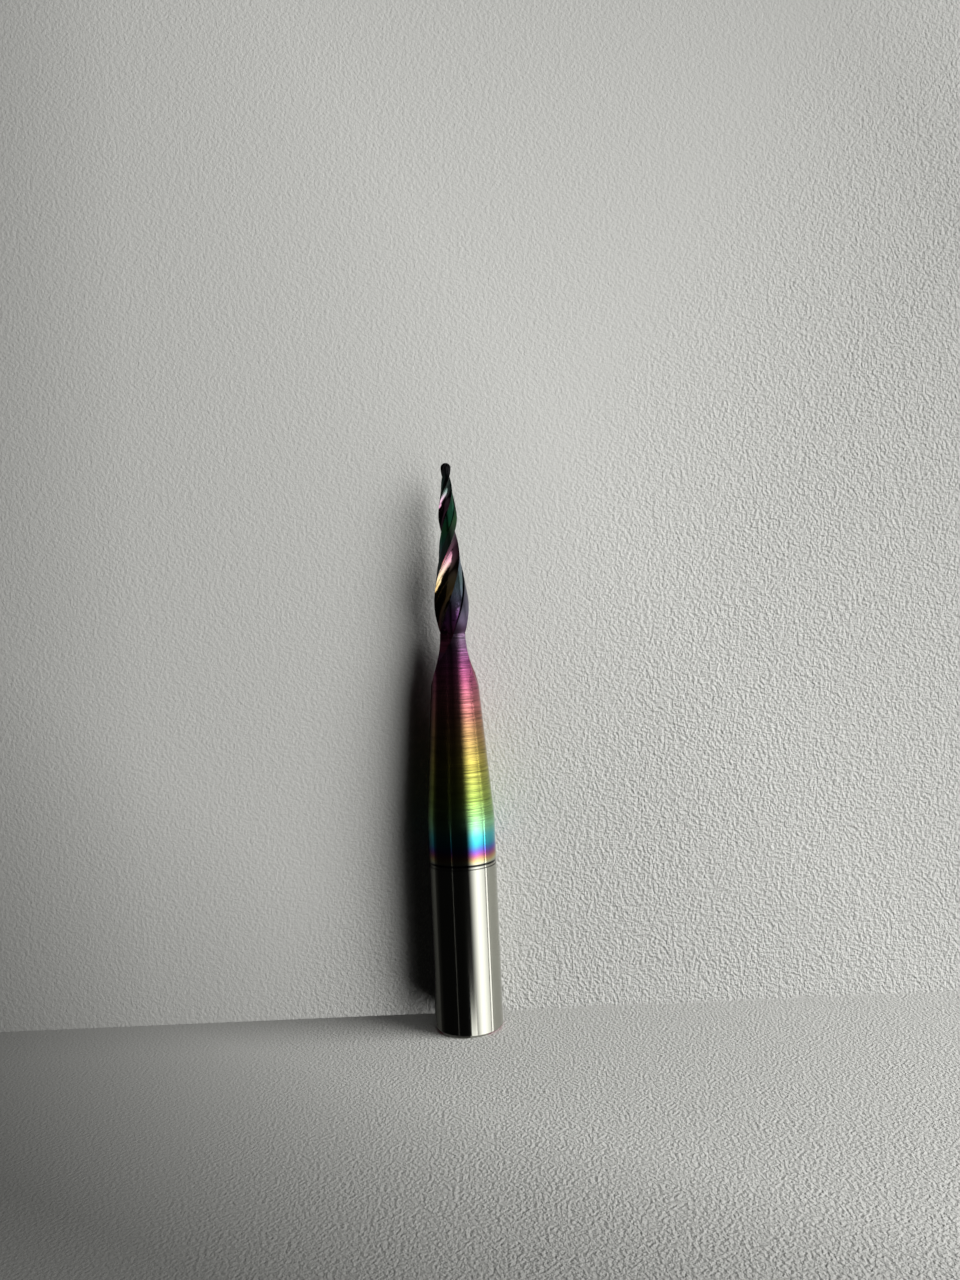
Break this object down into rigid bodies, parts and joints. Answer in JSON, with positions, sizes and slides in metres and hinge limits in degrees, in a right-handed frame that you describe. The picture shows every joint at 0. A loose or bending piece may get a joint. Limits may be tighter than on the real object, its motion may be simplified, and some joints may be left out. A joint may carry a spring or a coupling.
{
  "type": "tapered ball nose end mill",
  "caption": "Slender carbide milling cutter with a round shank, a taper, helical flutes and a small ball end, for carving and 3-D finishing cuts.",
  "frame": {"origin": "centre of the shank's end face, which the tool stands on", "axes": "+Z along the tool's axis towards the ball; the flutes run out towards +X and -X; the front is -Y"},
  "size_m": [0.006, 0.006, 0.05],
  "materials": {
    "coated_carbide": "fine ground cemented carbide, bare at the shank and with a thin coating in interference colours on the taper and flutes"
  },
  "bodies": {
    "root": {"end_mill": "coated_carbide"}
  },
  "joints": []
}
